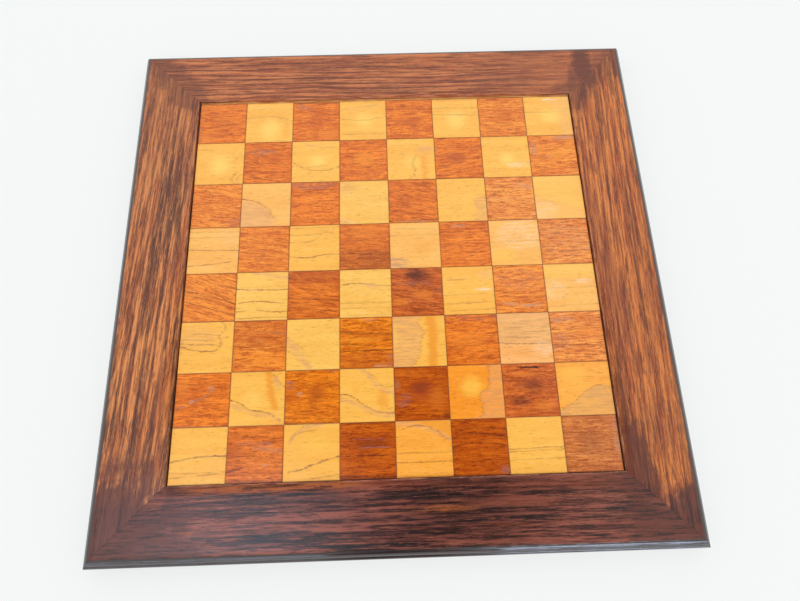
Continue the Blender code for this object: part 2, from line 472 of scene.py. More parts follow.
def squareFinish(name, kind, low, high, look, seed):
    made = Finish(name + "_timber")
    settings = squareSettings
    size = high.x - low.x
    toSquare = {0: made.place(), 1: (-low.x / size, -low.y / size, 0.0), 3: (1 / size, 1 / size, 1 / size)}
    u, v, depth = made.split(made.node("ShaderNodeMapping", None, toSquare))
    level = made.pack(u, v - u * math.tan(math.radians(look["slant"])), depth)
    grain = {which: made.noise(level, seed, *facts) for which, facts in squareGrain.items()}
    wobble = grain["slow"] + grain["jag"] * 1.4 - 1.2
    streak, fine, band = grain["streak"].between(0.43, 0.57), grain["fine"], grain["band"]
    tone = paint(settings[kind + "Tones"][look["tone"]])
    if kind == "light":
        pale, deep = shift(tone, (1.02, 1.05, 1.1)), shift(tone, (0.95, 0.91, 0.84))
        colour = made.mix(band.between(0.3, 0.7), pale, deep)
        colour = made.mix(fine.between(0.45, 0.34) * 0.4, colour, markShades["grey"])
        colour = made.mix(fine.between(0.56, 0.68) * 0.25, colour, markShades["chalk"])
    else:
        pale, deep = shift(tone, (1.1, 1.18, 1.1)), shift(tone, (0.84, 0.74, 0.7))
        colour = made.mix(band.between(0.35, 0.65), pale, deep)
        colour = made.mix(streak * 0.6, colour, shift(tone, (0.7, 0.54, 0.5)))
        for which, start, full, strength, factors in darkWashes:
            wash = grain[which].between(start, full) * strength
            colour = made.mix(wash, colour, shift(tone, factors))
    tooth = (grain["tooth"] - 0.5) * 0.3
    colour = addMarks(made, colour, look["marks"], u, v, streak, wobble, tooth)
    # glue and wear darken the last bit of each edge
    inset = made.math("MINIMUM", 0.5 - abs(u - 0.5), 0.5 - abs(v - 0.5)) + wobble * 0.008
    edge = inset.between(*settings["edge"]) * settings["edgeDark"][kind]
    made.set("Base Color", made.mix(edge, colour, markShades["umber"]))
    made.set("Roughness", 0.14 + 0.12 * fine)
    made.bump(fine, settings["relief"], 0.6)
    return made.holder


def look(tone, slant, *marks):
    # slant in degrees is how far the grain falls away from level
    return {"tone": tone, "slant": slant, "marks": marks}


# what each square shows, by its file and rank; a mark's shade and strength come before its place
squareLooks = {
    "a8": look(
        "copper", -1, spot("brick", 0.35, 0.55, 0.52, 0.36, 0.24),
        region("orange", 0.5, (0, 0.86), (1, 0.84)), spot("orange", 0.5, 0.1, 0.1, 0.3, 0.16),
        spot("lilac", 0.5, 0.03, 0.2, 0.05, 0.2),
    ),
    "b8": look(
        "honey", 0, spot("lemon", 0.8, 0.52, 0.32, 0.24, 0.36), spot("amber", 0.35, 0.86, 0.25, 0.09, 0.2),
        line("grey", 0.5, (0, 0.6), (0.45, 0.66), (1, 0.53)), line("pink", 0.4, (0, 0.87), (1, 0.9)),
    ),
    "c8": look(
        "copper", -1, spot("brick", 0.3, 0.52, 0.6, 0.25, 0.2), spot("lilac", 0.5, 0.25, 0.87, 0.2, 0.08),
        region("soot", 0.4, (0, 0.97), (1, 0.955)), spot("orange", 0.6, 0.8, 0.15, 0.3, 0.16),
    ),
    "d8": look(
        "honey", 1, spot("lemon", 0.8, 0.52, 0.5, 0.24, 0.24),
        line("pinkGrey", 0.55, (0.1, 0.78), (0.5, 0.84), (1, 0.92), size=0.03),
        line("grey", 0.4, (0, 0.56), (0.5, 0.5), (1, 0.6)), line("grey", 0.3, (0.1, 0.14), (1, 0.16)),
    ),
    "e8": look(
        "copper", 0, spot("brick", 0.45, 0.55, 0.43, 0.28, 0.2),
        line("umber", 0.6, (0, 0.76), (1, 0.74), size=0.02), spot("plum", 0.4, 0.05, 0.35, 0.05, 0.05),
        line("umber", 0.4, (0, 0.55), (0.4, 0.52), (1, 0.6)),
    ),
    "f8": look(
        "honey", 0, spot("lemon", 0.9, 0.5, 0.45, 0.25, 0.27), line("grey", 0.5, (0, 0.6), (1, 0.57)),
        line("grey", 0.3, (0, 0.77), (1, 0.75)), region("umber", 0.5, (0, 0.975), (1, 0.97)),
    ),
    "g8": look(
        "orange", 0, spot("rust", 0.5, 0.55, 0.52, 0.25, 0.22), spot("amber", 0.4, 0.15, 0.15, 0.2, 0.1),
    ),
    "h8": look(
        "honey", 0, spot("lemon", 0.9, 0.54, 0.5, 0.26, 0.2), flank("pink", 0.35, (0, 0.78), (1, 0.6)),
        line("grey", 0.4, (0, 0.61), (0.7, 0.59)), spot("chalk", 0.8, 0.55, 0.9, 0.16, 0.05),
    ),
    "a7": look(
        "honey", 1, spot("lemon", 0.9, 0.5, 0.46, 0.28, 0.28),
        rise("grey", 0.8, (0, 0.8), (0.2, 0.8), (0.35, 1.0)),
        rise("grey", 0.6, (0, 0.9), (0.15, 0.9), (0.25, 1.0)), line("grey", 0.3, (0, 0.86), (0.4, 0.83)),
    ),
    "b7": look(
        "copper", -2, spot("lilac", 0.6, 0.35, 0.76, 0.26, 0.07), spot("rust", 0.5, 0.65, 0.5, 0.2, 0.14),
        line("umber", 0.6, (0.15, 0.17), (0.65, 0.05), size=0.02),
    ),
    "c7": look(
        "honey", 0, spot("lemon", 0.9, 0.54, 0.5, 0.22, 0.16),
        line("grey", 0.55, (0, 0.5), (0.28, 0.33), (0.52, 0.27), (1, 0.35)),
        line("grey", 0.4, (0.33, 0.36), (0.5, 0.36), (0.72, 0.42)),
        line("pinkGrey", 0.55, (0.2, 0.97), (0.45, 0.88), (0.92, 0.85), size=0.03),
    ),
    "d7": look(
        "copper", 0, spot("amber", 0.5, 0.5, 0.5, 0.25, 0.2),
        line("umber", 0.7, (0.55, 0.62), (0.65, 0.67), (0.75, 0.62)),
        line("lilac", 0.5, (0.2, 0.17), (0.9, 0.19)), line("lilac", 0.3, (0.3, 0.11), (0.8, 0.13)),
    ),
    "e7": look(
        "honey", 0, spot("lemon", 0.5, 0.52, 0.45, 0.23, 0.2),
        rise("amber", 0.7, (0, 0.78), (0.5, 0.77), (0.6, 0.78), size=0.09, ragged=0.1),
        rise("grey", 0.7, (0, 0.45), (0.15, 0.55), (0.4, 0.54), (0.62, 0.66)),
        rise("grey", 0.6, (0, 0.6), (0.1, 0.56), (0.16, 0.53)), spot("pinkGrey", 0.6, 0.8, 0.73, 0.2, 0.09),
    ),
    "f7": look(
        "copper", 5, spot("brick", 0.7, 0.4, 0.52, 0.3, 0.13), line("umber", 0.6, (0.05, 0.3), (0.6, 0.4)),
        spot("lilac", 0.4, 0.06, 0.7, 0.07, 0.05),
    ),
    "g7": look(
        "honey", 0, spot("lemon", 0.9, 0.52, 0.44, 0.2, 0.18), spot("chalk", 0.6, 0.75, 0.3, 0.28, 0.07),
        spot("gold", 0.5, 0.85, 0.85, 0.2, 0.12),
    ),
    "h7": look(
        "orange", 0, spot("amber", 0.7, 0.57, 0.52, 0.2, 0.13), spot("dust", 0.8, 0.1, 0.7, 0.05, 0.2),
        spot("dust", 0.8, 0.75, 0.95, 0.25, 0.05), spot("dust", 0.7, 0.4, 0.45, 0.05, 0.04),
        spot("amber", 0.5, 0.9, 0.8, 0.12, 0.1),
    ),
    "a6": look(
        "orange", -9, spot("lilac", 0.3, 0.9, 0.1, 0.2, 0.1),
    ),
    "b6": look(
        "pale", 0, spot("pinkGrey", 0.8, 0.0, 0.0, 0.74, 0.62, size=0.01, ragged=0.25),
        spot("honeyed", 0.3, 0.0, 0.0, 0.66, 0.54),
        line("grey", 0.8, (0, 0.64), (0.3, 0.57), (0.5, 0.44), (0.64, 0.25), (0.74, 0.0), size=0.022),
    ),
    "c6": look(
        "copper", -1, spot("lilac", 0.6, 0.45, 0.93, 0.42, 0.09),
    ),
    "d6": look(
        "cream", 0, spot("pinkGrey", 0.3, 0.12, 0.85, 0.3, 0.16), line("chalk", 0.8, (0, 0.13), (0.3, 0.0)),
        spot("pinkGrey", 0.5, 0.03, 0.03, 0.22, 0.09),
    ),
    "e6": look(
        "copper", -8, spot("umber", 0.6, 0.75, 0.9, 0.16, 0.05),
        line("umber", 0.6, (0, 0.05), (1, 0.05), size=0.03), spot("dust", 0.5, 0.5, 0.03, 0.4, 0.02),
        spot("brick", 0.3, 0.3, 0.45, 0.22, 0.2),
    ),
    "f6": look(
        "honey", 0, flank("pinkGrey", 0.5, (0, 0.72), (0.3, 0.78), (0.5, 0.75), (0.6, 1.0), (1, 1.1)),
    ),
    "g6": look(
        "rosy", -2, spot("dust", 0.8, 0.8, 0.78, 0.24, 0.05, turn=-15),
        spot("dust", 0.3, 0.3, 0.5, 0.3, 0.04),
    ),
    "h6": look(
        "pale", 0, region("gold", 0.5, (0, 0.6), (0.3, 0.45), (0.7, 0.3), (1, 0.15)),
        spot("chalk", 0.3, 0.15, 0.2, 0.3, 0.2),
    ),
    "a5": look(
        "pale", 1, line("grey", 0.7, (0, 0.52), (1, 0.48)),
        line("grey", 0.6, (0, 0.17), (0.4, 0.19), (0.9, 0.25)), line("grey", 0.35, (0, 0.79), (1, 0.77)),
        line("grey", 0.35, (0, 0.91), (1, 0.9)), spot("pink", 0.4, 0.8, 0.75, 0.25, 0.2),
    ),
    "b5": look(
        "orange", -6, rise("dust", 0.9, (0.22, 0.4), (0.4, 0.4), size=0.01, ragged=0.0),
    ),
    "c5": look(
        "honey", 1, line("grey", 0.5, (0, 0.8), (0.5, 0.8), (0.8, 0.85)),
        line("grey", 0.5, (0, 0.62), (0.35, 0.63), (0.55, 0.7)),
        line("grey", 0.8, (0.05, 0.32), (0.35, 0.28), (0.6, 0.33), (1, 0.35)),
        line("grey", 0.4, (0, 0.95), (1, 0.95)),
    ),
    "d5": look(
        "chestnut", 0, region("plum", 0.4, (0, 0.41), (1, 0.39), above=False),
        spot("orange", 0.5, 0.5, 0.8, 0.4, 0.2),
    ),
    "e5": look(
        "pale", 0, spot("dust", 0.8, 0.16, 0.1, 0.24, 0.14), spot("amber", 0.35, 0.65, 0.42, 0.26, 0.16),
        line("grey", 0.3, (0, 0.7), (1, 0.73)), line("grey", 0.3, (0.1, 0.87), (1, 0.85)),
    ),
    "f5": look(
        "copper", 0, spot("dust", 0.7, 0.4, 0.9, 0.14, 0.05),
    ),
    "g5": look(
        "pale", 0, spot("chalk", 0.35, 0.6, 0.65, 0.5, 0.35), spot("gold", 0.5, 0.25, 0.2, 0.35, 0.2),
        line("grey", 0.25, (0, 0.5), (1, 0.53)),
    ),
    "h5": look(
        "rosy", 0, spot("dust", 0.2, 0.5, 0.5, 0.5, 0.4),
    ),
    "a4": look(
        "orange", -18, line("umber", 0.8, (0, 0.66), (0.4, 0.56), (1, 0.34), size=0.022),
        line("umber", 0.8, (0, 0.41), (0.4, 0.3), (1, 0.1), size=0.02),
        line("umber", 0.5, (0.3, 0.9), (0.6, 0.78), (1, 0.66)),
        line("umber", 0.4, (0, 0.56), (0.5, 0.44), (1, 0.24)),
    ),
    "b4": look(
        "cream", 0, line("pinkGrey", 0.8, (0.28, 1), (0.6, 0.94), (1, 0.86), size=0.06),
        line("grey", 0.9, (0, 0.66), (0.3, 0.63), (1, 0.62)),
        line("grey", 0.8, (0.05, 0.36), (0.4, 0.38), (0.9, 0.33)),
        line("grey", 0.8, (0.4, 0.23), (0.6, 0.18), (1, 0.17)), line("grey", 0.6, (0, 0.18), (0.25, 0.2)),
        line("grey", 0.5, (0, 0.04), (1, 0.06)), spot("pink", 0.5, 0.33, 0.64, 0.14, 0.04),
    ),
    "c4": look(
        "chestnut", -8, region("brick", 0.45, (0, 0.75), (1, 0.7)),
        line("umber", 0.6, (0, 0.43), (1, 0.36), size=0.02),
        line("umber", 0.6, (0, 0.24), (1, 0.14), size=0.02), spot("orange", 0.5, 0.3, 0.3, 0.35, 0.05),
    ),
    "d4": look(
        "cream", 0, line("grey", 0.8, (0, 0.67), (0.35, 0.71), (0.55, 0.68), (1, 0.64)),
        spot("pinkGrey", 0.8, 0.6, 0.65, 0.18, 0.06, turn=-12), line("grey", 0.3, (0, 0.3), (1, 0.3)),
        line("grey", 0.3, (0, 0.2), (1, 0.19)), line("grey", 0.3, (0.1, 0.05), (1, 0.05)),
    ),
    "e4": look(
        "plum", -8, spot("plum", 1.0, 0.52, 0.82, 0.32, 0.2, broken=0.3, ragged=1.0),
        spot("soot", 0.8, 0.48, 0.88, 0.2, 0.09, broken=0.4, ragged=1.0),
        spot("lilac", 0.4, 0.35, 0.68, 0.35, 0.07), line("soot", 0.5, (0, 0.56), (0.5, 0.5), (1, 0.55)),
        line("umber", 0.7, (0, 0.36), (0.5, 0.35), (1, 0.12), size=0.025),
        line("lilac", 0.5, (0.6, 0.75), (0.8, 0.6), (1, 0.4), size=0.04),
        spot("orange", 0.6, 0.6, 0.42, 0.25, 0.1), spot("umber", 0.6, 0.5, 0.1, 0.14, 0.06),
        line("umber", 0.5, (0, 0.2), (0.5, 0.21), (0.9, 0.05)), spot("orange", 0.5, 0.15, 0.3, 0.2, 0.1),
        spot("chalk", 0.7, 0.37, 0.3, 0.02, 0.014),
    ),
    "f4": look(
        "honey", 1, spot("chalk", 0.8, 0.78, 0.51, 0.18, 0.03),
        line("grey", 0.5, (0.05, 0.72), (0.5, 0.74)), line("grey", 0.35, (0, 0.22), (1, 0.25)),
        line("grey", 0.3, (0, 0.4), (0.9, 0.42)), spot("pink", 0.4, 0.85, 0.82, 0.2, 0.1),
        line("grey", 0.35, (0.1, 0.08), (1, 0.1)),
    ),
    "g4": look(
        "orange", 0, line("dust", 0.7, (0.1, 0.22), (0.35, 0.18), (0.9, 0.15), size=0.05),
        spot("rust", 0.4, 0.5, 0.3, 0.5, 0.05), spot("dust", 0.2, 0.5, 0.7, 0.5, 0.25),
    ),
    "h4": look(
        "pale", 0, region("gold", 0.4, (0, 0.68), (1, 0.7)), spot("amber", 0.4, 0.7, 0.75, 0.05, 0.08),
        spot("chalk", 0.6, 0.75, 0.62, 0.2, 0.06), line("grey", 0.25, (0, 0.5), (1, 0.5)),
        line("grey", 0.25, (0, 0.12), (1, 0.14)), spot("chalk", 0.3, 0.2, 0.45, 0.25, 0.2),
    ),
    "a3": look(
        "honey", 0,
        line("grey", 0.8, (0, 0.52), (0.25, 0.45), (0.5, 0.42), (0.7, 0.45), (0.76, 0.52), size=0.022),
        rise(
            "grey", 0.8, (0.48, 0.75), (0.62, 0.77), (0.72, 0.74), (0.8, 0.82), (0.9, 0.84), (1, 0.78),
            size=0.02, ragged=0.1,
        ),
        spot("pinkGrey", 0.35, 0.36, 0.72, 0.42, 0.26), line("grey", 0.5, (0, 0.66), (0.7, 0.62)),
        line("grey", 0.6, (0, 0.57), (0.7, 0.54)), line("grey", 0.4, (0.2, 0.77), (0.75, 0.74)),
        spot("lilac", 0.6, 0.04, 0.62, 0.05, 0.06),
    ),
    "b3": look(
        "orange", -1, region("brick", 0.4, (0, 0.42), (1, 0.36)), line("dust", 0.4, (0.2, 0.78), (1, 0.72)),
        spot("orange", 0.5, 0.6, 0.2, 0.4, 0.14),
    ),
    "c3": look(
        "cream", 0,
        line("pinkGrey", 0.7, (0, 0.58), (0.2, 0.36), (0.34, 0.18), (0.5, -0.05), size=0.15, ragged=0.12),
        line("grey", 0.4, (0, 0.66), (0.2, 0.5), (0.4, 0.28), (0.5, 0.05)),
        line("grey", 0.4, (0, 0.38), (0.15, 0.3), (0.28, 0.0)),
    ),
    "d3": look(
        "russet", 0, line("umber", 0.8, (0, 0.72), (0.4, 0.69), (1, 0.65), size=0.035),
        line("umber", 0.6, (0, 0.48), (0.6, 0.46), size=0.03),
        line("umber", 0.9, (0, 0.33), (1, 0.34), size=0.02),
        region("brick", 0.45, (0, 0.29), (1, 0.31), above=False), spot("dust", 0.9, 0.8, 0.04, 0.18, 0.03),
        spot("lilac", 0.5, 0.95, 0.15, 0.1, 0.12), spot("amber", 0.7, 0.4, 0.56, 0.4, 0.05),
        spot("dust", 0.5, 0.55, 0.96, 0.14, 0.03),
    ),
    "e3": look(
        "butter", 0,
        flank(
            "pinkGrey", 0.75, (0, 0.35), (0.2, 0.48), (0.35, 0.53), (0.5, 0.52), (0.7, 0.58), (0.85, 0.5),
            (1, 0.6), right=False, ragged=0.1,
        ),
        rise(
            "grey", 0.5, (0, 0.35), (0.2, 0.48), (0.35, 0.53), (0.5, 0.52), (0.7, 0.58), (0.85, 0.5),
            (1, 0.6), ragged=0.1,
        ),
        rise("amber", 0.85, (0, 0.74), (1, 0.75), size=0.14, broken=0.1),
        spot("gold", 0.5, 0.04, 0.6, 0.06, 0.3),
    ),
    "f3": look(
        "copper", 3, region("lilac", 0.35, (0, 0.88), (1, 0.86)), spot("orange", 0.4, 0.4, 0.5, 0.5, 0.2),
        spot("umber", 0.5, 0.9, 0.95, 0.1, 0.03),
    ),
    "g3": look(
        "rose", 0, region("moss", 0.45, (0, 0.38), (1, 0.37)),
        line("grey", 0.8, (0, 0.4), (0.5, 0.38), (1, 0.37)), spot("chalk", 0.4, 0.82, 0.26, 0.2, 0.16),
        spot("amber", 0.3, 0.35, 0.2, 0.4, 0.12), region("rosewash", 0.5, (0, 0.85), (1, 0.88)),
        line("grey", 0.5, (0.1, 0.52), (0.8, 0.5)), line("grey", 0.4, (0.4, 0.62), (0.9, 0.61)),
        line("grey", 0.4, (0.1, 0.72), (0.5, 0.71)),
    ),
    "h3": look(
        "rosy", 0, spot("dust", 0.6, 0.25, 0.84, 0.25, 0.07), spot("lilac", 0.35, 0.15, 0.4, 0.2, 0.2),
        line("umber", 0.5, (0, 0.34), (1, 0.33), size=0.02), line("umber", 0.4, (0, 0.65), (1, 0.66)),
        spot("orange", 0.5, 0.7, 0.6, 0.3, 0.15),
    ),
    "a2": look(
        "copper", -1, line("lilac", 0.7, (0, 0.32), (0.3, 0.46), (0.6, 0.6), (0.66, 0.75), size=0.035),
        spot("dust", 0.9, 0.65, 0.71, 0.06, 0.08), spot("dust", 0.8, 0.31, 0.46, 0.06, 0.05),
        spot("soot", 0.5, 0.04, 0.33, 0.1, 0.03), spot("orange", 0.6, 0.12, 0.75, 0.16, 0.2),
        region("lilac", 0.5, (0, 0.03), (1, 0.02), above=False), spot("brick", 0.3, 0.55, 0.85, 0.3, 0.08),
    ),
    "b2": look(
        "butter", 0,
        line(
            "grey", 0.9, (0, 0.48), (0.18, 0.41), (0.35, 0.29), (0.5, 0.26), (0.7, 0.22), (0.95, 0.05),
            size=0.02,
        ),
        line("pinkGrey", 0.5, (0, 0.4), (0.3, 0.27), (0.5, 0.19), (0.75, 0.17), (0.95, 0.0), size=0.07),
        rise("amber", 0.8, (0.25, 0.84), (0.5, 0.76), (0.75, 0.71), (1, 0.7), size=0.1, broken=0.1),
        spot("lemon", 0.5, 0.4, 0.5, 0.2, 0.2), line("grey", 0.8, (0.72, 0.97), (0.85, 0.85), (1, 0.68)),
        spot("pinkGrey", 0.5, 0.85, 0.78, 0.07, 0.16, turn=25),
    ),
    "c2": look(
        "russet", 0, spot("rust", 0.6, 0.58, 0.52, 0.2, 0.22), spot("umber", 0.3, 0.58, 0.55, 0.15, 0.16),
        spot("lilac", 0.6, 0.09, 0.72, 0.09, 0.1), spot("dust", 0.8, 0.27, 0.54, 0.07, 0.06),
        spot("rust", 0.5, 0.08, 0.45, 0.1, 0.16), region("umber", 0.5, (0, 0.06), (1, 0.05), above=False),
        spot("lilac", 0.6, 0.88, 0.97, 0.13, 0.03),
    ),
    "d2": look(
        "butter", 0, line("pinkGrey", 0.8, (0.35, 1), (0.55, 0.86), (0.75, 0.62), (1, 0.55), size=0.09),
        line("grey", 0.5, (0.4, 0.97), (0.65, 0.84), (0.8, 0.66), (1, 0.66)),
        line("grey", 0.9, (0, 0.52), (0.22, 0.48), (0.45, 0.31), (0.7, 0.18), (1, 0.16), size=0.02),
        line("pinkGrey", 0.6, (0, 0.44), (0.25, 0.36), (0.5, 0.22), (0.75, 0.14), (1, 0.12), size=0.08),
        spot("amber", 0.7, 0.78, 0.4, 0.14, 0.2), spot("amber", 0.3, 0.3, 0.62, 0.1, 0.12),
    ),
    "e2": look(
        "cocoa", 0, spot("russet", 0.6, 0.78, 0.4, 0.2, 0.25),
        spot("brick", 0.8, 0.48, 0.55, 0.26, 0.24, broken=0.2),
        spot("plum", 0.5, 0.5, 0.6, 0.2, 0.12, broken=0.2),
        spot("lilac", 0.5, 0.16, 0.36, 0.16, 0.12, turn=30), spot("tan", 0.7, 0.06, 0.66, 0.07, 0.12),
        spot("soot", 0.6, 0.95, 0.06, 0.1, 0.1), spot("russet", 0.4, 0.3, 0.88, 0.3, 0.07),
    ),
    "f2": look(
        "deep", 0, spot("gold", 0.8, 0.42, 0.6, 0.24, 0.22),
        flank(
            "pinkGrey", 0.55, (0, 0.3), (0.08, 0.6), (0.25, 0.6), (0.45, 0.57), (0.55, 0.7), (0.8, 0.75),
            (1, 0.75), ragged=0.08,
        ),
        rise(
            "umber", 0.5, (0, 0.3), (0.08, 0.6), (0.25, 0.6), (0.45, 0.57), (0.55, 0.7), (0.8, 0.75),
            (1, 0.75), size=0.02, ragged=0.08,
        ),
    ),
    "g2": look(
        "plum", 0, line("soot", 1.0, (0.3, 0.93), (0.72, 0.92), size=0.03, broken=0.2),
        line("soot", 0.5, (0, 0.69), (1, 0.67), size=0.02),
        spot("plum", 0.9, 0.27, 0.3, 0.22, 0.1, broken=0.4, ragged=1.0),
        spot("plum", 0.6, 0.55, 0.58, 0.28, 0.16, broken=0.2), spot("orange", 0.5, 0.75, 0.2, 0.25, 0.12),
        spot("orange", 0.5, 0.4, 0.8, 0.3, 0.05),
    ),
    "h2": look(
        "amber", 0,
        region("moss", 0.6, (0, 0.1), (0.3, 0.27), (0.55, 0.46), (0.65, 0.52), (1, 0.5), above=False),
        line("grey", 0.5, (0, 0.1), (0.3, 0.27), (0.55, 0.46), (0.65, 0.52), (1, 0.5)),
        spot("gold", 0.4, 0.3, 0.75, 0.3, 0.2),
    ),
    "a1": look(
        "butter", 0, line("grey", 0.9, (0, 0.4), (0.3, 0.45), (0.6, 0.48), (1, 0.48), size=0.02),
        line("grey", 0.35, (0, 0.2), (0.6, 0.2), (1, 0.22)),
        line("grey", 0.6, (0.5, 0.14), (0.7, 0.17), (0.95, 0.17)),
        line("grey", 0.5, (0, 0.12), (0.3, 0.14)), spot("amber", 0.3, 0.82, 0.63, 0.08, 0.06),
    ),
    "b1": look(
        "chestnut", 0, spot("lilac", 0.6, 0.45, 0.68, 0.35, 0.05),
        spot("dust", 0.3, 0.7, 0.58, 0.3, 0.05, turn=-10),
        line("plum", 0.8, (0, 0.2), (0.35, 0.28), size=0.03), spot("dust", 0.7, 0.68, 0.3, 0.05, 0.03),
        line("umber", 0.5, (0, 0.45), (0.5, 0.46), size=0.02),
        region("plum", 0.5, (0, 0.05), (1, 0.04), above=False), spot("brick", 0.5, 0.1, 0.55, 0.25, 0.2),
        spot("orange", 0.4, 0.6, 0.9, 0.4, 0.08),
    ),
    "c1": look(
        "butter", 0,
        line("pinkGrey", 0.7, (0.08, 0.52), (0.14, 0.72), (0.28, 0.88), (0.7, 0.97), size=0.06),
        line("grey", 0.6, (0.1, 0.6), (0.15, 0.75), (0.3, 0.84), (0.6, 0.88)),
        line("grey", 0.6, (0.06, 0.5), (0.12, 0.74), (0.38, 0.97)),
        line("grey", 0.9, (0.08, 0.17), (0.3, 0.2), (0.5, 0.27), (0.8, 0.36), (1, 0.41), size=0.02),
        line("grey", 0.6, (0.45, 0.04), (1, 0.09)), spot("gold", 0.4, 0.6, 0.65, 0.3, 0.2),
    ),
    "d1": look(
        "cocoa", 0, spot("plum", 0.55, 0.55, 0.63, 0.36, 0.13), line("lilac", 0.6, (0.2, 0.7), (0.9, 0.69)),
        line("lilac", 0.7, (0.3, 0.55), (0.9, 0.55), size=0.02),
        line("soot", 0.7, (0.1, 0.41), (0.9, 0.41), size=0.02),
        region("soot", 0.6, (0, 0.07), (1, 0.05), above=False), region("soot", 0.4, (0, 0.97), (1, 0.96)),
    ),
    "e1": look(
        "amber", 0, region("amber", 0.6, (0, 1.05), (0.45, 0.95), (1, 0.5)),
        line("pinkGrey", 0.6, (0, 0.95), (0.5, 0.88), (1, 0.64), size=0.08),
        line("grey", 0.7, (0.1, 0.84), (0.5, 0.9), (0.95, 0.62)), line("umber", 0.4, (0, 0.43), (1, 0.42)),
        line("umber", 0.4, (0, 0.27), (1, 0.26)), region("umber", 0.4, (0, 0.03), (1, 0.03), above=False),
    ),
    "f1": look(
        "cocoa", 0, line("soot", 0.6, (0, 0.65), (0.3, 0.75), (0.7, 0.72), (1, 0.65), size=0.025),
        line("soot", 0.5, (0, 0.8), (0.4, 0.84), (1, 0.8), size=0.02),
        spot("lilac", 0.6, 0.92, 0.08, 0.12, 0.12), line("soot", 0.35, (0, 0.5), (0.4, 0.58), (1, 0.5)),
    ),
    "g1": look(
        "butter", 0, line("grey", 0.6, (0, 0.44), (1, 0.45)), line("grey", 0.5, (0, 0.4), (1, 0.41)),
        line("grey", 0.4, (0, 0.25), (1, 0.26)),
    ),
    "h1": look(
        "mocha", 0, spot("plum", 0.35, 0.5, 0.5, 0.25, 0.22), spot("dust", 0.5, 0.95, 0.5, 0.05, 0.4),
        line("umber", 0.5, (0, 0.7), (1, 0.68), size=0.02), line("lilac", 0.4, (0, 0.3), (1, 0.3)),
    ),
}


def makeSquares():
    side = squareSize - squareGap
    for row in range(8):
        rankNode = f"dark_squares_rank_{row + 1}"
        for column in range(8):
            spotName = fileNames[column] + str(row + 1)
            kind = "dark" if (column + row) % 2 else "light"
            name = f"{kind}_square_{spotName}"
            node = name if kind == "light" else rankNode
            x = fieldLeft + column * squareSize + squareGap / 2
            y = fieldFront + row * squareSize + squareGap / 2
            low, high = Vector((x, y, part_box(node)[0].z)), Vector((x + side, y + side, fieldTop))
            seed = column * 3.7 + row * 11.3 + 1
            material = squareFinish(name, kind, low, high, squareLooks[spotName], seed)
            squareSlab(name, low, high, seed, material, [node])


makeSquares()
print("stage: 64 squares")


# glue showing in the joints between squares
glueSettings = {
    "drop": 0.00008,
    "depth": 0.0006,
    "slack": 0.00001,
    "pale": "a05414",
    "dark": "60300c",
    "grain": (160.0, 160.0, 160.0),
    "relief": 0.00005,
}


def makeGlue(settings):
    made = Finish("glue", roughness=0.5)
    shade = made.noise(made.place(), 4.0, settings["grain"])
    pale, dark = paint(settings["pale"]), paint(settings["dark"])
    made.set("Base Color", made.mix(shade.between(0.35, 0.65), pale, dark))
    made.bump(shade, settings["relief"])
    top = fieldTop - settings["drop"]
    bottom = top - settings["depth"]
    half = squareGap / 2 - settings["slack"]
    lines = np.arange(1, 8) * squareSize
    edge = squareGap / 2
    # uprights run the whole field, cross strips fill each square between them: low x, high x, low y, high y
    boxes = [(x - half, x + half, edge, squareSize * 8 - edge) for x in lines]
    for x in np.arange(8) * squareSize:
        boxes += [(x + edge, x + squareSize - edge, y - half, y + half) for y in lines]
    boxes = np.array(boxes) + [fieldLeft, fieldLeft, fieldFront, fieldFront]
    x, y = boxes[:, [0, 1, 1, 0, 0, 1, 1, 0]], boxes[:, [2, 2, 3, 3, 2, 2, 3, 3]]
    z = np.broadcast_to([bottom] * 4 + [top] * 4, x.shape)
    quads = np.array([[0, 3, 2, 1], [4, 5, 6, 7], [0, 1, 5, 4], [1, 2, 6, 5], [2, 3, 7, 6], [3, 0, 4, 7]])
    faces = (quads[None] + np.arange(len(boxes))[:, None, None] * 8).reshape(-1, 4)
    meshPiece("glue_lines", np.stack([x, y, z], -1), [faces], made.holder)


makeGlue(glueSettings)
print("stage: glue lines")


# frame rails
railSettings = {
    "mitreSlack": 0.0001,
    "stations": 181,
    "innerFoot": 0.0004,
    "flatInset": (0.01, 0.004),
    "innerArris": 0.0006,
    "mouldingWidth": 0.0068,
    "quirkWidth": 0.0001,
    "quirkDrop": 0.0010,
    "ovoloWidth": 0.0046,
    "ovoloDrop": 0.0050,
    "stepDrop": 0.0008,
    "lipWidth": 0.0022,
    "lipDrop": 0.0022,
    "topWear": 0.0004,
    "bottomChamfer": 0.0010,
    "wander": 0.00012,
    "wanderWaves": 9,
    "innerWear": 0.0006,
    "outerWear": 0.0008,
    "wearDrop": 0.6,
}
sideTurns = {"front": 0.0, "right": 90.0, "back": 180.0, "left": 270.0}


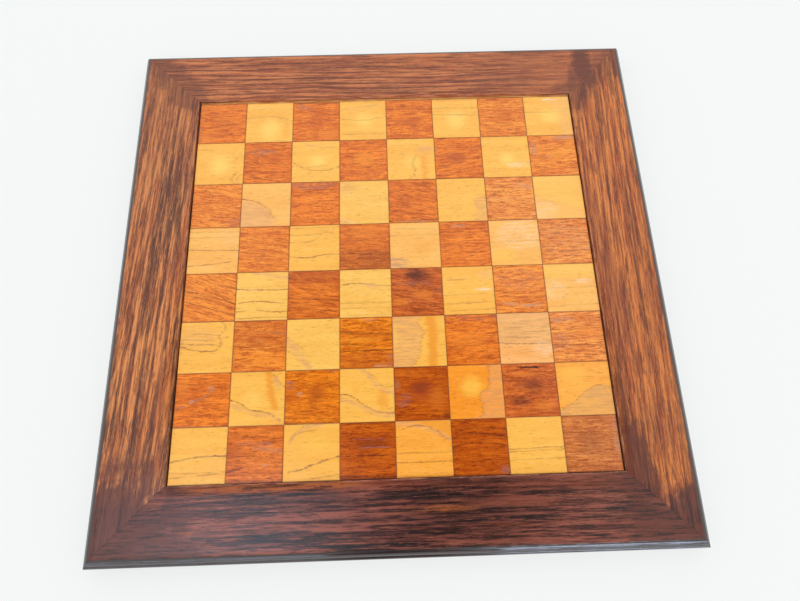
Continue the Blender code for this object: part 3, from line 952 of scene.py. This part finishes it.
def railProfile(settings):
    # how far out and how far down each point of the cross-section is: from the inner foot up, over
    # the top, down the moulding in quarter ellipses, and back underneath
    height = railTop - railBottom
    swing = np.linspace(0, math.pi / 2, 6)
    bend = np.linspace(0, math.pi / 2, 12)
    foot, arris, wear = settings["innerFoot"], settings["innerArris"], settings["topWear"]
    quirk, quirkDrop = settings["quirkWidth"], settings["quirkDrop"]
    flatStart, flatEnd = settings["flatInset"]
    ovoloStart = railWidth - settings["mouldingWidth"]
    ovoloFoot = quirkDrop + settings["ovoloDrop"]
    lipStart = railWidth - settings["lipWidth"]
    lipTop = ovoloFoot + settings["stepDrop"]
    lipOut, lipDown = settings["lipWidth"] * np.sin(swing[1:]), settings["lipDrop"] * (1 - np.cos(swing[1:]))
    chamfer = settings["bottomChamfer"]
    stretches = [
        ([foot, 0.0, 0.0], [height, height - foot, height * 0.5]),
        (arris * (1 - np.cos(swing)), arris * (1 - np.sin(swing))),
        (np.linspace(flatStart, ovoloStart - flatEnd, 6), np.zeros(6)),
        (ovoloStart - wear * (1 - np.sin(swing)), wear * (1 - np.cos(swing))),
        ([ovoloStart + quirk * 0.2], [quirkDrop - quirk]),
        (
            ovoloStart + quirk + (settings["ovoloWidth"] - quirk) * np.sin(bend),
            ovoloFoot - settings["ovoloDrop"] * np.cos(bend),
        ),
        ([lipStart], [lipTop]),
        (lipStart + lipOut, lipTop + lipDown),
        ([railWidth, railWidth, railWidth - chamfer], [height * 0.7, height - chamfer, height]),
    ]
    out, drop = zip(*stretches)
    return np.concatenate(out), np.concatenate(drop)


def railSweep(side, settings, material):
    # profile carried along x, each point's run as long as its own mitre line allows, then turned to its
    # side; the top's two edges wander by a bell of their distance from the edge times a sum of sines
    out, drop = railProfile(settings)
    t = np.linspace(-1, 1, settings["stations"])
    run = innerHalf + out - settings["mitreSlack"]
    x = t[:, None] * run
    fade = np.clip((1 - np.abs(t)) * 12, 0, 1)
    seed = len(side) + ord(side[0])
    bulge = np.abs(settings["wander"] * ripple(t * settings["wanderWaves"], seed) * fade)[:, None]
    onTop = drop < settings["quirkDrop"]
    inner = np.exp(-((out - settings["innerArris"] * 0.3) / settings["innerWear"]) ** 2) * onTop
    outer = np.exp(-((out - (railWidth - settings["mouldingWidth"])) / settings["outerWear"]) ** 2) * onTop
    y = -(innerHalf + out + bulge * inner)
    z = railTop - drop - bulge * (inner + outer) * settings["wearDrop"]
    turn = math.radians(sideTurns[side])
    across = x * math.cos(turn) - y * math.sin(turn)
    along = x * math.sin(turn) + y * math.cos(turn)
    points = np.stack([across, along, z], -1)
    faces = ringFaces(len(t), len(out))
    return meshPiece(f"{side}_rail", points, faces, material, [f"{side}_rail"], 35)


# each grain's fineness along, across and down a rail, its seed, detail and roughness
railGrain = {
    "slow": ((9.0, 30.0, 30.0), 0.0),
    "jag": ((60.0, 500.0, 300.0), 9.0, 3.0, 0.7),
    "streak": ((12.0, 300.0, 300.0), 2.0, 5.0, 0.75),
    "pore": ((60.0, 760.0, 1000.0), 5.0, 3.0, 0.8),
    "patch": ((5.0, 110.0, 40.0), 8.0, 4.0, 0.7),
    "hair": ((24.0, 400.0, 500.0), 3.0, 4.0, 0.8),
}

# u runs along each rail with its left end at 0 seen from the middle of the board, v from the field
# outwards; calm is where the grain turns from broken to clear, and the painted highlight on the
# moulding is given as (start, end, strength)
railLooks = {
    "back": {
        "base": "a0502c", "dark": "5c2a18", "light": "cc7844", "slant": 0.5, "stripes": 0.7,
        "pitch": 0.0066, "streaks": 0.3, "calm": (0.1, 0.4),
        "marks": [
            spot("smoke", 0.4, 0.24, 0.5, 0.1, 0.6, broken=0.8), spot("smoke", 0.7, 0.53, 0.14, 0.05, 0.05),
            spot("smoke", 0.5, 0.71, 0.05, 0.05, 0.03), spot("smoke", 0.6, 0.18, 0.86, 0.09, 0.07),
            spot("smoke", 0.6, 0.47, 0.1, 0.05, 0.06), spot("smoke", 0.5, 0.6, 0.94, 0.08, 0.03),
            spot("ember", 0.3, 0.42, 0.7, 0.1, 0.2),
            line("smoke", 0.5, (0.12, 0.3), (0.3, 0.27), (0.5, 0.36), size=0.03),
        ],
    },
    "front": {
        "base": "421c13", "dark": "0a0405", "light": "924f3d", "slant": 0.0, "stripes": 0.0, "pitch": 0.009,
        # the painted highlight on the front moulding: where along the rail it lies and how strong
        "streaks": 0.8, "calm": (-0.2, -0.1), "paintedSheen": ((-0.1, 0.4, 0.3), (0.65, 1.1, 0.9)),
        "marks": [
            region(
                "claret", 0.75, (0, 0.15), (0.3, 0.13), (0.5, 0.1), (0.75, 0.2), (1, 0.16), above=False,
                size=0.05, ragged=0.2,
            ),
            line("ember", 0.6, (0.13, 0.07), (0.3, 0.06), (0.46, 0.05), size=0.07, ragged=0.15, broken=0.6),
            line("pitch", 0.8, (0.14, 0.27), (0.3, 0.25), (0.45, 0.22), size=0.06, ragged=0.1),
            line("pitch", 0.7, (0.17, 0.6), (0.31, 0.6), size=0.035, ragged=0.1),
            line("pitch", 0.9, (0.44, 0.27), (0.55, 0.21), (0.66, 0.27), size=0.07, ragged=0.1),
            line("pitch", 0.9, (0.4, 0.55), (0.5, 0.5), (0.63, 0.5), size=0.05, ragged=0.1),
            line("pitch", 0.8, (0.8, 0.5), (0.94, 0.46), size=0.035, ragged=0.1),
            line("pitch", 0.8, (0.58, 0.76), (0.7, 0.72), size=0.06, ragged=0.1),
            spot("pitch", 0.75, 0.59, 0.35, 0.1, 0.5, broken=0.6),
            spot("pitch", 0.45, 0.67, 0.5, 0.1, 0.6, broken=0.9),
            spot("claret", 0.7, 0.11, 0.22, 0.04, 0.1, broken=0.6),
            spot("ember", 0.7, 0.16, 0.6, 0.015, 0.04, broken=1.0),
            spot("ember", 0.5, 0.11, 0.42, 0.02, 0.06, broken=1.0),
            spot("ember", 0.6, 0.57, 0.4, 0.06, 0.05, broken=1.0),
            spot("claret", 0.5, 0.72, 0.32, 0.14, 0.1, broken=1.0),
            spot("claret", 0.5, 0.7, 0.62, 0.08, 0.05, broken=1.0),
            spot("claret", 0.6, 0.88, 0.64, 0.08, 0.06, broken=1.0),
            spot("claret", 0.4, 0.86, 0.12, 0.08, 0.07, broken=1.0),
            spot("pitch", 0.7, 0.915, 0.28, 0.015, 0.12),
        ],
    },
    "left": {
        "base": "a25028", "dark": "462218", "light": "de8a4a", "slant": 2.4, "stripes": 0.65,
        "pitch": 0.0085, "streaks": 0.75, "calm": (-0.05, 0.42),
        "marks": [
            line(
                "smoke", 0.85, (0.5, 0.56), (0.563, 0.58), (0.69, 0.65), (0.786, 0.74), (0.9, 0.82),
                size=0.045, ragged=0.08, broken=0.25,
            ),
            line(
                "smoke", 0.8, (0.5, 0.26), (0.563, 0.31), (0.69, 0.43), (0.786, 0.5), (0.9, 0.62),
                size=0.04, ragged=0.08, broken=0.25,
            ),
            line(
                "smoke", 0.85, (0.66, 0.17), (0.72, 0.22), (0.8, 0.3), (0.9, 0.47), size=0.05, ragged=0.08,
                broken=0.25,
            ),
            line("smoke", 0.3, (0.34, 0.64), (0.5, 0.63), size=0.05, ragged=0.08, broken=0.25),
            line("smoke", 0.3, (0.4, 0.56), (0.5, 0.54), size=0.03, ragged=0.08, broken=0.25),
            spot("smoke", 0.5, 0.28, 0.08, 0.07, 0.1), spot("smoke", 0.7, 0.815, 0.08, 0.025, 0.08),
            spot("ember", 0.8, 0.845, 0.12, 0.025, 0.08), spot("ember", 0.7, 0.72, 0.07, 0.06, 0.06),
            spot("ember", 0.6, 0.79, 0.36, 0.05, 0.05), spot("ember", 0.6, 0.83, 0.7, 0.05, 0.04),
            spot("ember", 0.6, 0.62, 0.84, 0.06, 0.04), spot("ember", 0.6, 0.47, 0.75, 0.06, 0.04),
            spot("smoke", 0.22, 0.12, 0.5, 0.34, 0.9, broken=0.3),
            line("smoke", 0.5, (0.5, 0.93), (0.85, 0.9), size=0.03),
        ],
    },
    "right": {
        "base": "a44c20", "dark": "562614", "light": "d87e38", "slant": 1.5, "stripes": 0.5,
        "pitch": 0.0075, "streaks": 0.55, "calm": (-0.2, -0.1),
        "marks": [
            region(
                "claret", 0.6, (0.3, 0.0), (0.42, 0.36), (0.52, 0.26), (0.6, 0.2), (0.7, 0.0), above=False,
                size=0.05, ragged=0.15,
            ),
            spot("umber", 0.8, 0.696, 0.2, 0.012, 0.06), spot("ember", 0.7, 0.7, 0.22, 0.006, 0.025),
            line("claret", 0.8, (0.68, 0.25), (0.74, 0.33), (0.82, 0.42), size=0.05, ragged=0.1),
            line("smoke", 0.9, (0.82, 0.2), (0.88, 0.23), (0.94, 0.3), size=0.07, ragged=0.1),
            line("smoke", 0.8, (0.1, 0.25), (0.16, 0.28), (0.22, 0.33), size=0.05, ragged=0.1),
            spot("smoke", 0.35, 0.2, 0.5, 0.06, 0.4), spot("smoke", 0.8, 0.1, 0.36, 0.03, 0.12),
            spot("smoke", 0.6, 0.23, 0.07, 0.08, 0.08), spot("ember", 0.5, 0.4, 0.75, 0.14, 0.14),
            spot("ember", 0.7, 0.84, 0.36, 0.05, 0.05), spot("ember", 0.7, 0.86, 0.07, 0.06, 0.05),
            spot("ember", 0.5, 0.36, 0.5, 0.1, 0.07), spot("ember", 0.5, 0.15, 0.15, 0.04, 0.08),
        ],
    },
}

# stain at the corners in metres from the middle of the board: shade, middle, reach, strength; ember
# lifts it again
cornerStains = [
    ("smoke", -0.24, -0.24, 0.066, 0.052, 0.92),
    ("smoke", -0.238, -0.214, 0.018, 0.024, 0.9),
    ("smoke", -0.216, -0.2, 0.008, 0.034, 0.85),
    ("ember", -0.206, -0.198, 0.005, 0.026, 0.9),
    ("ember", -0.209, -0.214, 0.009, 0.005, 0.8),
    ("smoke", 0.212, -0.202, 0.014, 0.036, 0.9),
    ("smoke", -0.262, -0.25, 0.018, 0.04, 0.92),
    ("smoke", 0.243, -0.254, 0.056, 0.036, 0.85),
    ("smoke", 0.262, -0.245, 0.014, 0.045, 0.85),
    ("smoke", 0.222, 0.235, 0.012, 0.033, 0.9),
    ("smoke", 0.257, 0.245, 0.006, 0.025, 0.8),
    ("smoke", 0.207, 0.205, 0.006, 0.03, 0.7),
]
stainSettings = {
    "blotch": ((38.0, 38.0, 38.0), 3.3, 4.0, 0.7),
    "ahead": (-0.208, -0.226),    # where the side rails turn as dark as the front one
    "mitreReach": 0.03,
    "mitreStrength": 0.55,
}
mouldingSettings = {
    "start": (0.885, 0.9),
    # how far the moulding is darkened towards near black: darker stain, with painted shade along the quirk
    "dark": 0.94,
    "coat": 0.36,
    "coatIor": 2.0,
    "coatRoughness": 0.08,
    # bands of the ovolo and the lip that carry the painted highlight
    "paintedSheenOvolo": (0.912, 0.928, 0.935, 0.955),
    "paintedSheenLip": (0.966, 0.974),
    "relief": 0.00009,
}


def cornerStain(made, wide, deep, fromMitre, hair, blotch):
    # stain gathered along the mitres and in blotches that run on from rail to rail
    stain = (fromMitre / stainSettings["mitreReach"] + blotch * 2.6).between(1.0, 0.4)
    stain = stain * stainSettings["mitreStrength"]
    for shade, middleX, middleY, reachX, reachY, strength in cornerStains:
        away = made.distance((wide - middleX) / reachX, (deep - middleY) / reachY)
        held = (away + blotch * 2.4 + (hair - 0.5) * 0.8).between(1.4, 0.65) * strength
        stain = made.math("MAXIMUM", stain, held) if shade == "smoke" else stain * (1 - held)
    return stain


def railFinish(side, look):
    made = Finish(f"{side}_rail_stain")
    board = made.place()
    wide, deep = made.split(board)[:2]
    turned = {0: board, 2: (0.0, 0.0, math.radians(-sideTurns[side]))}
    x, y, z = made.split(made.node("ShaderNodeMapping", None, turned))
    out = 0 - y - innerHalf
    u, v = x / (2 * outerHalf) + 0.5, out / railWidth
    fall = out - x * math.tan(math.radians(look["slant"]))
    level = made.pack(x, fall, z)
    seed = ord(side[0]) * 0.37
    slow, jag, streak, pore, patch, hair = [made.noise(level, seed, *facts) for facts in railGrain.values()]
    wobble = slow + jag - 1.0
    blotch = made.noise(board, 0.0, *stainSettings["blotch"]) - 0.5
    calm = u.between(*look["calm"])
    crisp = 0.3 + 0.7 * calm
    # growth lines a few millimetres apart, bent by the slow noise
    wave = made.math("SINE", (fall + slow * 0.012) * (2 * math.pi / look["pitch"]) + streak * 4.0)
    stripe = wave.between(0.1, 0.85) * patch.between(0.34, 0.48) * (0.4 + 0.6 * calm) * look["stripes"]
    # the side rails darken to the front rail's colours where they meet it
    ahead = (deep + blotch * 0.07).between(*stainSettings["ahead"])
    front = railLooks["front"]
    shades = ("light", "base", "dark")
    pale, mid, dark = [made.mix(ahead, paint(look[key]), paint(front[key])) for key in shades]
    colour = made.mix(streak.between(0.46, 0.55) * (0.6 + 0.4 * calm) + (1 - calm) * 0.25, pale, mid)
    colour = made.mix(patch.between(0.52, 0.58) * look["streaks"] * (0.35 + 0.65 * calm), colour, dark)
    colour = made.mix(stripe, colour, dark)
    thread, tooth = hair.between(0.42, 0.56), (hair - 0.5) * 0.08
    colour = addMarks(made, colour, look["marks"], u, v, thread, wobble, tooth)
    stain = cornerStain(made, wide, deep, innerHalf + out - abs(x), hair, blotch)
    colour = made.mix(stain, colour, markShades["smoke"])
    # open pores over everything, then pale flecks where the lacquer has lifted and isn't stained
    clean = 1 - stain * 0.9
    colour = made.mix(hair.between(0.47, 0.42) * crisp * 0.65, colour, dark)
    colour = made.mix(pore.between(0.46, 0.4) * 0.55, colour, dark)
    colour = made.mix(hair.between(0.54, 0.59) * clean * crisp * 0.5, colour, pale)
    colour = made.mix(pore.between(0.56, 0.63) * clean * 0.45, colour, pale)
    # dust along the inner edge; the moulding darkened to near black, darker stain with painted shade along
    # the quirk, then a bluish painted highlight on the ovolo and lip
    colour = made.mix(v.between(0.026, 0.006) * pore.between(0.48, 0.58) * 0.6, colour, markShades["dust"])
    moulding = mouldingSettings
    # the moulding turns near black from the quirk outwards: darker stain, with painted shade in the quirk
    rim = (v + wobble * 0.01).between(*moulding["start"])
    colour = made.mix(rim * moulding["dark"], colour, markShades["pitch"])
    # a bluish painted highlight in streaks on the ovolo and lip, standing in for the room's light reflected
    # there
    low, lowFull, highFull, high = moulding["paintedSheenOvolo"]
    paintedSheenBand = v.between(low, lowFull) * v.between(high, highFull) + v.between(*moulding["paintedSheenLip"]) * 0.4
    for start, end, strength in look.get("paintedSheen", ()):
        run = u.between(start, start + 0.03) * u.between(end, end - 0.03) * hair.between(0.38, 0.58)
        colour = made.mix(run * paintedSheenBand * strength, colour, markShades["paintedSheen"])
    made.set("Base Color", colour)
    made.set("Roughness", 0.16 + 0.14 * pore - 0.04 * rim)
    made.set("Coat Weight", rim * moulding["coat"])
    made.set("Coat IOR", moulding["coatIor"])
    made.set("Coat Roughness", moulding["coatRoughness"])
    made.bump(pore + hair, moulding["relief"], 0.8)
    return made.holder


for side in sideTurns:
    railSweep(side, railSettings, railFinish(side, railLooks[side]))
print("stage: rails")


# pieces that keep their CAD shape, each kind with its colours, how fine its grain is along x, y and z,
# and the nodes that wear it
cornerNames = ("front_left", "front_right", "back_right", "back_left")
plainFinishes = {
    "birch": {
        "pale": "d9b98a", "dark": "b48a58", "grain": (6.0, 90.0, 2200.0), "roughness": 0.55,
        "relief": 0.00005, "nodes": ["plywood_substrate"],
    },
    "backing": {
        "pale": "9c6a44", "dark": "70452a", "grain": (14.0, 420.0, 420.0), "roughness": 0.55,
        "relief": 0.00005, "nodes": ["backing_veneer"],
    },
    "beech": {
        "pale": "d8ad7c", "dark": "b98656", "grain": (60.0, 60.0, 900.0), "roughness": 0.55,
        "relief": 0.00005, "nodes": [f"{side}_panel_tongue" for side in sideTurns]
        + [f"mitre_spline_{corner}" for corner in cornerNames],
    },
    "filler": {
        "pale": "e9b068", "dark": "b06a34", "grain": (60.0, 900.0, 900.0), "roughness": 0.45,
        "relief": 0.00005, "nodes": ["back_filler_strip"],
    },
    "felt": {
        "pale": "2f5a3c", "dark": "1d3d28", "grain": (2600.0, 2600.0, 2600.0), "roughness": 0.95,
        "relief": 0.0003, "nodes": [f"felt_foot_{corner}" for corner in cornerNames],
    },
}


def plainFinish(name, facts):
    made = Finish(name, roughness=facts["roughness"])
    place = made.place()
    pale, dark = paint(facts["pale"]), paint(facts["dark"])
    grain = made.noise(place, 2.0, facts["grain"], 0.0, 3.0, 0.6)
    cloud = made.noise(place, 7.0, (20.0, 20.0, 20.0))
    colour = made.mix(grain.between(0.35, 0.65), pale, dark)
    made.set("Base Color", made.mix(cloud.between(0.4, 0.8) * 0.3, colour, dark))
    made.bump(grain, facts["relief"], 0.6)
    return made.holder


def dress(node, material):
    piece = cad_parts[node]
    for holder in piece.material_slots:
        holder.material = material
    if not piece.material_slots:
        piece.data.materials.append(material)


for name, facts in plainFinishes.items():
    material = plainFinish(name, facts)
    for node in facts["nodes"]:
        dress(node, material)
print("stage: CAD pieces dressed")


# floor and light
roomSettings = {
    "floorSize": 6.0,
    "floorPale": "848888",
    "floorDark": "7e8484",
    "floorCloud": (1.3, 1.3, 1.3),
    "floorGlow": 0.685,
    "floorTint": (0.998, 1.0, 0.975, 1.0),
    "sky": 1.065,
    "overheadDark": 0.03,
    "overheadMiddle": (-0.05, 0.1),
    "overheadReach": (0.42, 0.24),
    "bodyMiddle": 0.02,
    "bodyReach": (0.22, 0.1),
    "bodyFoot": (0.3, 0.6),
    "lamp": 5.0,
    "lampPlace": (-0.235, -0.02, 0.16, 0.12),
    "window": 4.6,
    "windowPlace": (0.42, 1.2, 0.24, 0.55),
    "glareTint": (0.8, 0.92, 1.15, 1.0),
}


def makeFloor(settings):
    made = Finish("floor_paper", roughness=0.9, specular=0.1)
    cloud = made.noise(made.place(), 1.0, settings["floorCloud"])
    made.set("Base Color", made.mix(cloud, paint(settings["floorPale"]), paint(settings["floorDark"])))
    made.set("Emission Color", settings["floorTint"])
    made.set("Emission Strength", settings["floorGlow"])
    half = settings["floorSize"] / 2
    mesh = bpy.data.meshes.new("floor")
    corners = [(-half, -half, 0), (half, -half, 0), (half, half, 0), (-half, half, 0)]
    mesh.from_pydata(corners, [], [(0, 1, 2, 3)])
    mesh.materials.append(made.holder)
    floor = bpy.data.objects.new("floor", mesh)
    bpy.context.scene.collection.objects.link(floor)


def makeSky(settings):
    # an even white room, mapped onto a ceiling by x / z and y / z, with a dark patch overhead and a lamp
    world = bpy.data.worlds.new("room")
    bpy.context.scene.world = world
    tree = Tree(world)
    x, y, z = tree.split(tree.node("ShaderNodeTexCoord", None, None, "Generated"))
    lift = tree.math("MAXIMUM", z, 0.05)
    risen = z.between(0.0, 0.2)
    middleX, middleY = settings["overheadMiddle"]
    away = tree.distance(x / lift - middleX, y / lift - middleY)
    overhead = away.between(*settings["overheadReach"]) * risen
    lamp = tree.disc(x / lift, y / lift, settings["lampPlace"]) * risen
    # whoever stands at the front edge hides the room there, with a window to the right
    ahead = 0 - y
    wallX, wallZ = x / tree.math("MAXIMUM", ahead, 0.05), z / tree.math("MAXIMUM", ahead, 0.05)
    body = abs(wallX - settings["bodyMiddle"]).between(*settings["bodyReach"])
    body = body * wallZ.between(*settings["bodyFoot"]) * ahead.between(0.02, 0.2)
    window = tree.disc(wallX, wallZ, settings["windowPlace"]) * ahead.between(0.0, 0.1)
    dark = tree.math("MAXIMUM", overhead, body)
    glare = tree.math("MAXIMUM", lamp, window * (settings["window"] / settings["lamp"]))
    bright = settings["sky"] * (1 - dark) + settings["overheadDark"] * dark + glare * settings["lamp"]
    tint = tree.mix(glare, (1.0, 1.0, 1.0, 1.0), settings["glareTint"])
    shade = tree.node("ShaderNodeBackground", None, {"Color": tint, "Strength": bright})
    tree.links.new(shade.socket, tree.nodes["World Output"].inputs["Surface"])


makeFloor(roomSettings)
makeSky(roomSettings)
bpy.context.scene.view_settings.view_transform = "Standard"
print("stage: floor and light")
